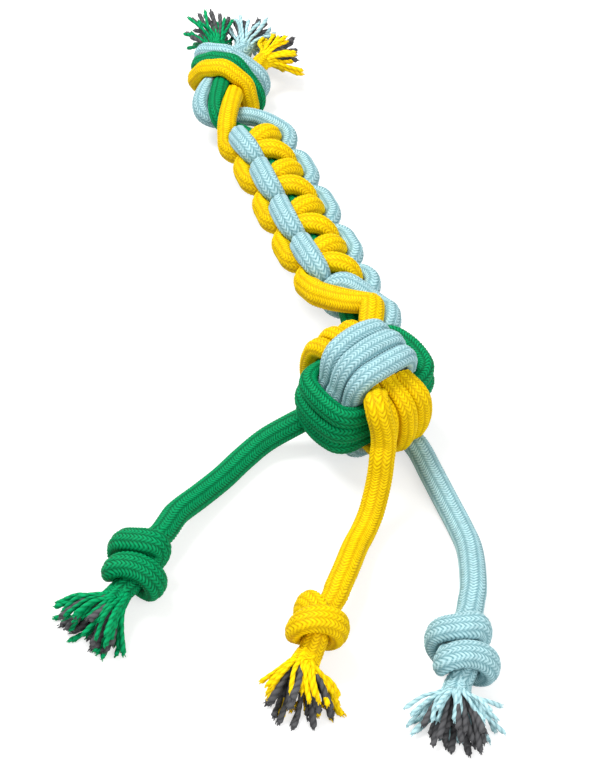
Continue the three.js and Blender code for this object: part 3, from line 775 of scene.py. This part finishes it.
INTO_BALL = {
    "blue": np.array([[12.3, 33, 42.3], [10.5, 27, 41.5], [8.5, 21, 40]]) * MM,
    "yellow": np.array([[3.8, 32, 48], [3, 26, 46.5], [2, 19, 45]]) * MM,
    "green": np.array([[-3, 27, 32.9], [-2.5, 21, 32.6]]) * MM,
}
BEYOND_TOP_KNOT = TOP_KNOT_CENTRE + np.array([0, 40, 0]) * MM
TAIL_LINE = [BEYOND_TOP_KNOT, TOP_KNOT_CENTRE, SENNIT_START, SENNIT_END, BALL_CENTRE]
for number, (colour, route) in enumerate(top_routes.items()):
    points = evenly(np.vstack([route, INTO_BALL[colour]]), ROUTE_STEP)
    outward, flat = away_from(TAIL_LINE, points)
    in_sennit = smoothstep(np.linalg.norm(points - TOP_KNOT_CENTRE, axis=1), *KNOT_TO_SENNIT)
    wide = blend_sizes(TOP_HALF_WIDE, SENNIT_HALF_WIDE, in_sennit)
    thick = blend_sizes(TOP_HALF_THICK, SENNIT_HALF_THICK, in_sennit)
    round_size = (wide + thick) / 2
    add_route(f"{colour}_tail", points, outward, blend_sizes(round_size, thick, flat),
              blend_sizes(round_size, wide, flat), 2, number)

for number, (colour, coil) in enumerate(BALL_COILS.items()):
    every = round(ROUTE_STEP / BALL_ROUTE_STEP)
    points, outward = (found[::every] for found in ball_route(coil))
    thick = np.full(len(points), BALL_HALF_THICK)
    wide = np.full(len(points), BALL_HALF_WIDE)
    add_route(f"{colour}_ball", points, outward, thick, wide, BALL_SQUARENESS, number + 5)

# Points of each leg's rope inside the ball, and for yellow those of its lead on the ball's front
INTO_LEG = {
    "green": [[-18.5, -1.5, 19.5], [-25.3, -3.7, 16.9]],
    "yellow": [[5.5, -15, 42], [4.6, -21, 46], [4.2, -26.5, 49], [4.4, -30.1, 49.8]] + LEAD_ROUTE,
    "blue": [[15, -3, 12], [20.3, -9.5, 9.4]],
}
KNOT_LINE_REACH = 30 * MM
TIED_FROM = (-2 * MM, 9 * MM)
FLARE_BEFORE_NECK = 3 * MM
for number, (colour, leg) in enumerate(LEGS.items()):
    place = leg_places[colour]
    forward = place["forward"]
    before = place["pivot"] - forward * ROPE_RADIUS
    neck = place["knot"][-1] + forward * NECK_LENGTH
    to_knot = np.array(INTO_LEG[colour] + leg["route"]) * MM
    points = evenly(np.vstack([to_knot, before, place["pivot"], place["knot"], neck]), ROUTE_STEP)
    middle = place["knot"].mean(0)
    knot_line = [middle - forward * KNOT_LINE_REACH, middle + forward * KNOT_LINE_REACH]
    outward, flat = away_from(knot_line, points)
    past = (points - place["knot"][0]) @ forward
    tied = smoothstep(past, *TIED_FROM)
    flat = flat * tied
    radius = blend_sizes(FREE_RADIUS, (END_HALF_WIDE + END_HALF_THICK) / 2, tied)
    flare = smoothstep((points - neck) @ forward, -NECK_LENGTH - FLARE_BEFORE_NECK, 0)
    radius = blend_sizes(radius, NECK_RADIUS, flare)
    flat = flat * (1 - flare)
    add_route(f"{colour}_leg", points, outward, blend_sizes(radius, END_HALF_THICK, flat),
              blend_sizes(radius, END_HALF_WIDE, flat), 2, number + 9)


# Neighbours of each rope: the ball's ropes press on each other alone, the others give way to the ball too
def pressed(name):
    rope = ropes[name]
    family = name.split("_")[1]
    beside = {"ball": ("ball",), "tail": ("tail", "ball"), "leg": ("leg", "ball")}[family]
    order = list(ropes)
    chosen = [other for other in order if other.split("_")[1] in beside]
    neighbours = {
        "points": np.vstack([ropes[other]["points"] for other in chosen]),
        "run": np.concatenate([ropes[other]["runs"] for other in chosen]),
        "rope": np.concatenate([np.full(len(ropes[other]["runs"]), order.index(other)) for other in chosen]),
        "own": order.index(name),
    }
    return pressed_radii(rope, neighbours)


for name in ropes:
    ropes[name]["radii"] = pressed(name)


def run_at(rope, point):
    return rope["runs"][np.linalg.norm(rope["points"] - point, axis=1).argmin()]


# Ropes of the legs: a lead from the ball, the free length up to the knot, and the knot, which goes with the
# foot
leg_pieces = {}
for colour, leg in LEGS.items():
    rope = ropes[f"{colour}_leg"]
    place = leg_places[colour]
    material = MATERIALS[colour]
    inside = run_at(rope, place["pivot"]) + LEG_INTO_KNOT
    swing = np.array(leg["route"][0]) * MM
    first = run_at(rope, swing) + LEAD_BEYOND_SWING
    lead, _ = add_rope(f"{colour}_lead_rope", rope, 0.0, first, material)
    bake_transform(lead)
    if colour == "yellow":
        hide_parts("yellow_ball_lead")
    piece, path = add_rope(f"{colour}_leg_rope", rope, first, inside, material)
    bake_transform(piece)
    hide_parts(f"{colour}_leg")
    knot, _ = add_rope(f"{colour}_end_knot_rope", rope, inside - KNOT_OVERLAP, rope["runs"][-1], material)
    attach(knot, f"{colour}_foot")
    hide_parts(f"{colour}_end_knot")
    leg_pieces[colour] = {"leg": piece, "path": path, "on": [knot]}

# Ropes of the sennit, the large knot and the ball
NODES = {"blue": "blue_sennit_cord", "yellow": "yellow_sennit_cord", "green": "green_sennit_core"}
for colour, node in NODES.items():
    rope = ropes[f"{colour}_tail"]
    piece, _ = add_rope(f"{colour}_tail_rope", rope, 0.0, rope["runs"][-1], MATERIALS[colour])
    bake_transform(piece)
    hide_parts(node, f"{colour}_top_knot")
    rope = ropes[f"{colour}_ball"]
    piece, _ = add_rope(f"{colour}_ball_rope", rope, 0.0, rope["runs"][-1], MATERIALS[colour])
    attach(piece, "ball")
    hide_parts(f"{colour}_ball_turns")


# Fill of the ball: wound yarn
CORE_RADIUS = 15 * MM
CORE_YARN_HEIGHT = 0.5 * MM
CORE_RINGS = 90
CORE_SIDES = 120
CORE_WINDS = 22
CORE_SWAY = 9
CORE_POLE = 0.001


def wound_core():
    tilt = np.linspace(CORE_POLE, math.pi - CORE_POLE, CORE_RINGS)[:, None]
    turn = np.linspace(0, 2 * math.pi, CORE_SIDES, endpoint=False)[None]
    wave = np.abs(np.sin(CORE_WINDS * tilt + CORE_SWAY * np.sin(turn)))
    radius = CORE_RADIUS + CORE_YARN_HEIGHT * wave
    level = np.sin(tilt)
    ways = np.stack([level * np.cos(turn), level * np.sin(turn), np.cos(tilt) + 0 * turn], axis=2)
    points = (ways * radius[..., None] + BALL_CENTRE).reshape(-1, 3)
    quads = ring_quads(CORE_RINGS, CORE_SIDES)[:, ::-1]
    uv = strip_uv(CORE_RINGS, CORE_SIDES, math.pi * CORE_RADIUS, 2 * math.pi * CORE_RADIUS)
    # The winding height also sets the painted shade between the windings
    values = {"stitch": wave, "tone": np.full_like(wave, 0.5)}
    return add_mesh("ball_core_yarn", points, quads, uv, values, MATERIALS["grey"])


core = wound_core()
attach(core, "ball")
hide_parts("ball_core")


# Tassels: twisted yarns that leave the rope's end, spread and sag, each with a frayed cut end
YARN_LAY = 7 * MM
YARN_STEP = 0.8 * MM
YARN_SIDES = 10
WISP_SIDES = 4
WISPS = 7
WISP_LENGTHS = (0.8, 1.9)
WISP_TAPER = (0.34, 0.16)
WISP_FLOOR = 0.4 * MM
WISP_ROOTS = 0.4
WISP_STRAY = 0.22
# Painted light: the frayed wisps are drawn lighter than their yarn, for loose fibres that catch the light
WISP_PAINTED_LIGHT = 0.4
PLY_LOW = 0.86
PLY_RISE = 0.18
PLY_SHADE = 0.35
YARN_SWELL = 0.25
YARN_SWELLS_OVER = (0.6, 0.95)
CUT_END_DRAW = 0.6
CUT_END_FROM = 0.999
# Tone from yarn to yarn: random, and reaching above the rope's for painted light on the loose yarns
YARN_SHADES = (0.0, 1.3)


def yarn_mesh(path, radius, around, start):
    _, sides, others = frames_along(path, np.array([0.2, 0.1, 1.0]))
    angles = np.arange(around) / around * 2 * math.pi
    lay = angles[None] - run_lengths(path)[:, None] / YARN_LAY * 2 * math.pi + start
    ply = np.abs(np.cos(lay))
    size = radius[:, None] * (PLY_LOW + PLY_RISE * ply)
    ways = ring_ways(angles, sides, others)
    return path[:, None] + ways * size[..., None], ply


def frayed_end(path, radius, rng):
    wisps = []
    way = unit(path[-1] - path[-3])
    for _ in range(WISPS):
        root = path[-2] + rng.normal(0, WISP_ROOTS, 3) * radius
        tip = root + unit(way + rng.normal(0, WISP_STRAY, 3)) * rng.uniform(*WISP_LENGTHS) * MM
        tip[2] = max(tip[2], WISP_FLOOR)
        wisps.append((np.linspace(root, tip, 4), np.linspace(*WISP_TAPER, 4) * MM))
    return wisps


def add_tassel(name, colour, place, axes, yarns, body, node, rng):
    points = []
    quads = []
    stitch = []
    tone = []
    first = 0

    def add_yarn(path, radius, around, shade):
        nonlocal first
        ring, ply = yarn_mesh(path, radius, around, rng.uniform(0, 2 * math.pi))
        points.append(ring.reshape(-1, 3))
        quads.append(ring_quads(len(path), around, first))
        # The twist of the plies sets the painted shade between them
        stitch.append((PLY_SHADE + (1 - PLY_SHADE) * ply).ravel())
        tone.append(np.full(len(path) * around, shade))
        first += len(path) * around

    for yarn in yarns:
        path = evenly(np.array(yarn["path"]) @ axes + place, YARN_STEP)
        path[:, 2] = np.maximum(path[:, 2], yarn["radius"] + FLOOR_CLEARANCE)
        share = np.linspace(0, 1, len(path))
        swell = 1 + YARN_SWELL * smoothstep(share, *YARN_SWELLS_OVER)
        cut_end = 1 - CUT_END_DRAW * (share > CUT_END_FROM)
        shade = rng.uniform(*YARN_SHADES)
        add_yarn(path, yarn["radius"] * swell * cut_end, YARN_SIDES, shade)
        for wisp, thin in frayed_end(path, yarn["radius"], rng):
            add_yarn(wisp, thin, WISP_SIDES, shade + WISP_PAINTED_LIGHT)
    quads = np.vstack(quads)
    cells = math.ceil(math.sqrt(len(quads)))
    cell = np.column_stack([np.arange(len(quads)) % cells, np.arange(len(quads)) // cells])
    corners = np.array([[0.1, 0.1], [0.9, 0.1], [0.9, 0.9], [0.1, 0.9]])
    uv = (cell[:, None] + corners[None]) / cells
    values = {"stitch": np.concatenate(stitch), "tone": np.concatenate(tone)}
    piece = add_mesh(name, np.vstack(points), quads, uv, values, MATERIALS[colour])
    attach(piece, body)
    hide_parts(node)
    return piece


# How far one yarn strays from its neighbours' lie: shares of a size, then angles and places
PLACE_STRAY = (-0.35, 0.35)
RIM_SHARES = (0.75, 1.0)
ASIDE_SHARES = (0.45, 1.15)
ABOVE_SHARES = (0.4, 1.1)
LENGTH_SHARES = (0.75, 1.12)
YARN_SHARES = (0.88, 1.12)
ASIDE_STRAY = 0.12
ABOVE_STRAY = 0.08
MIDDLE_STRAY = 0.6 * MM
TIP_STRAY = 1.1 * MM
YARN_INSIDE = 5 * MM


def fan(lie, root, rim, turn, sag, rng):
    """Yarns in the tassel's own frame: x along the rope, z up. They leave the rope's rim at x = root."""
    yarns = []
    for number in range(lie["count"]):
        angle = 2 * math.pi * (number + rng.uniform(*PLACE_STRAY)) / lie["count"]
        reach = rim * rng.uniform(*RIM_SHARES)
        edge = np.array([root, reach * math.cos(angle), reach * math.sin(angle)])
        spread = lie["aside"] * math.cos(angle) * rng.uniform(*ASIDE_SHARES)
        side = spread + rng.normal(0, ASIDE_STRAY) + turn
        lift = lie["above"] * math.sin(angle) * rng.uniform(*ABOVE_SHARES)
        rise = lift + rng.normal(0, ABOVE_STRAY)
        long = lie["length"] * rng.uniform(*LENGTH_SHARES)
        way = np.array([math.cos(side) * math.cos(rise), math.sin(side) * math.cos(rise), math.sin(rise)])
        start = edge * [1, 0.85, 0.85] - [YARN_INSIDE, 0, 0]
        leave = edge + way * 0.16 * long + [0.06 * long, 0, 0]
        middle = edge + way * 0.55 * long + rng.normal(0, MIDDLE_STRAY, 3) - [0, 0, 0.3 * sag]
        tip = edge + way * long + rng.normal(0, TIP_STRAY, 3) - [0, 0, sag]
        radius = lie["yarn"] * rng.uniform(*YARN_SHARES)
        yarns.append({"path": [start, edge, leave, middle, tip], "radius": radius})
    return yarns


# How each end's yarns lie: how many, how far they spread to the sides and upwards, how long and how thick
END_SHEATHS = {
    "green": {"count": 46, "aside": 0.72, "above": 0.5, "length": 20 * MM, "yarn": 0.88 * MM},
    "yellow": {"count": 40, "aside": 0.85, "above": 0.5, "length": 17 * MM, "yarn": 0.95 * MM},
    "blue": {"count": 40, "aside": 1.15, "above": 0.6, "length": 16.5 * MM, "yarn": 0.85 * MM},
}
TOP_SHEATHS = {
    "green": {"count": 24, "aside": 0.6, "above": 0.5, "length": 20 * MM, "yarn": 0.85 * MM},
    "blue": {"count": 24, "aside": 0.6, "above": 0.5, "length": 21 * MM, "yarn": 0.9 * MM},
    "yellow": {"count": 26, "aside": 0.85, "above": 0.6, "length": 17 * MM, "yarn": 0.95 * MM},
}
END_CORE = {"count": 20, "aside": 0.5, "above": 0.35, "length": 21.5 * MM, "yarn": 1.2 * MM}
TOP_CORE = {"count": 20, "aside": 0.4, "above": 0.35, "yarn": 1.1 * MM}
END_CORE_RIM = 4.2 * MM
TOP_CORE_RIM = 3.2 * MM
TOP_CORE_BEYOND = 3 * MM
TOP_SAG = 4 * MM
RIM_INSET = 0.7 * MM
END_SHEATH_ROOT = NECK_LENGTH - MM
END_CORE_ROOT = NECK_LENGTH - 2 * MM
TOP_SHEATH_ROOT = MM
END_HEIGHT = 4 * MM
rng = np.random.default_rng(7)
for colour, leg in LEGS.items():
    forward = leg_places[colour]["forward"]
    axes = np.array([forward, np.cross(UP, forward), UP])
    end = leg_places[colour]["knot"][-1]
    turn = leg["tassel_turn"]
    sag = max(0.0, end[2] - END_HEIGHT)
    sheath = fan(END_SHEATHS[colour], END_SHEATH_ROOT, NECK_RADIUS - RIM_INSET, turn, sag, rng)
    inside = fan(END_CORE, END_CORE_ROOT, END_CORE_RIM, turn, sag, rng)
    foot = f"{colour}_foot"
    node = f"{colour}_end_tassel"
    outer = add_tassel(f"{colour}_end_yarns", colour, end, axes, sheath, foot, node, rng)
    node = f"{colour}_end_core_yarns"
    inner = add_tassel(f"{colour}_end_grey_yarns", "grey", end, axes, inside, foot, node, rng)
    leg_pieces[colour]["on"] += [outer, inner]

for colour, route in top_routes.items():
    forward = unit(route[0] - route[1])
    side = unit(np.cross(UP, forward))
    axes = np.array([forward, side, np.cross(forward, side)])
    lie = TOP_SHEATHS[colour]
    core_lie = {**TOP_CORE, "length": lie["length"] + TOP_CORE_BEYOND}
    sheath = fan(lie, TOP_SHEATH_ROOT, TOP_NECK_RADIUS - RIM_INSET, 0.0, TOP_SAG, rng)
    inside = fan(core_lie, 0.0, TOP_CORE_RIM, 0.0, TOP_SAG, rng)
    node = f"{colour}_top_tassel"
    add_tassel(f"{colour}_top_yarns", colour, route[0], axes, sheath, "tail", node, rng)
    node = f"{colour}_top_core_yarns"
    add_tassel(f"{colour}_top_grey_yarns", "grey", route[0], axes, inside, "tail", node, rng)

# Each leg's path along its free length, taken up and not used further
for parts in leg_pieces.values():
    path = parts["path"]

# Floor and light: what the camera, a reflection or glass sees of the background is white
FLOOR_HALF_SIDE = 4
FLOOR_GLOW = 0.62
SKY_LIGHT = 0.5
SKY_SEEN = 1.0


def background_rays(tree):
    rays = tree.nodes.new("ShaderNodeLightPath")
    mirrored = tree.nodes.new("ShaderNodeMath")
    mirrored.operation = "MAXIMUM"
    tree.links.new(rays.outputs["Is Glossy Ray"], mirrored.inputs[0])
    tree.links.new(rays.outputs["Is Transmission Ray"], mirrored.inputs[1])
    seen = tree.nodes.new("ShaderNodeMath")
    seen.operation = "MAXIMUM"
    tree.links.new(rays.outputs["Is Camera Ray"], seen.inputs[0])
    tree.links.new(mirrored.outputs["Value"], seen.inputs[1])
    return seen.outputs["Value"]


floor_mesh = bpy.data.meshes.new("floor")
half = FLOOR_HALF_SIDE
floor_corners = [(-half, -half, 0), (half, -half, 0), (half, half, 0), (-half, half, 0)]
floor_mesh.from_pydata(floor_corners, [], [(0, 1, 2, 3)])
floor = bpy.data.objects.new("floor", floor_mesh)
bpy.context.scene.collection.objects.link(floor)
floor_material = bpy.data.materials.new("pale_floor")
floor_material.use_nodes = True
floor_nodes, floor_links = floor_material.node_tree.nodes, floor_material.node_tree.links
floor_shader = floor_nodes["Principled BSDF"]
floor_shader.inputs["Base Color"].default_value = (0.5, 0.5, 0.5, 1)
floor_shader.inputs["Roughness"].default_value = 0.9
floor_shader.inputs["Specular IOR Level"].default_value = 0.1
glow = floor_nodes.new("ShaderNodeEmission")
both = floor_nodes.new("ShaderNodeAddShader")
strength = floor_nodes.new("ShaderNodeMath")
strength.operation = "MULTIPLY"
strength.inputs[1].default_value = FLOOR_GLOW
floor_links.new(background_rays(floor_material.node_tree), strength.inputs[0])
floor_links.new(strength.outputs["Value"], glow.inputs["Strength"])
floor_links.new(floor_shader.outputs["BSDF"], both.inputs[0])
floor_links.new(glow.outputs["Emission"], both.inputs[1])
floor_links.new(both.outputs["Shader"], floor_nodes["Material Output"].inputs["Surface"])
floor_mesh.materials.append(floor_material)


def add_light(name, place, target, size, power):
    data = bpy.data.lights.new(name, "AREA")
    data.shape = "DISK"
    data.size = size
    data.energy = power
    light = bpy.data.objects.new(name, data)
    light.location = place
    way = np.array(target) - np.array(place)
    flat = math.hypot(way[0], way[1])
    light.rotation_euler = (math.atan2(flat, -way[2]), 0, math.atan2(-way[0], way[1]))
    bpy.context.scene.collection.objects.link(light)


add_light("key", place=(-0.7, 0.5, 1.5), target=(-0.02, 0.08, 0.03), size=0.9, power=28)
add_light("fill", place=(0.7, -1.0, 1.0), target=(-0.02, 0.05, 0.03), size=1.4, power=15)
world = bpy.data.worlds.new("studio")
world.use_nodes = True
sky = world.node_tree.nodes["Background"]
sky.inputs["Color"].default_value = (1, 1, 1, 1)
brighter = world.node_tree.nodes.new("ShaderNodeMath")
brighter.operation = "MULTIPLY_ADD"
brighter.inputs[1].default_value = SKY_SEEN - SKY_LIGHT
brighter.inputs[2].default_value = SKY_LIGHT
world.node_tree.links.new(background_rays(world.node_tree), brighter.inputs[0])
world.node_tree.links.new(brighter.outputs["Value"], sky.inputs["Strength"])
bpy.context.scene.world = world
bpy.context.scene.view_settings.view_transform = "Standard"
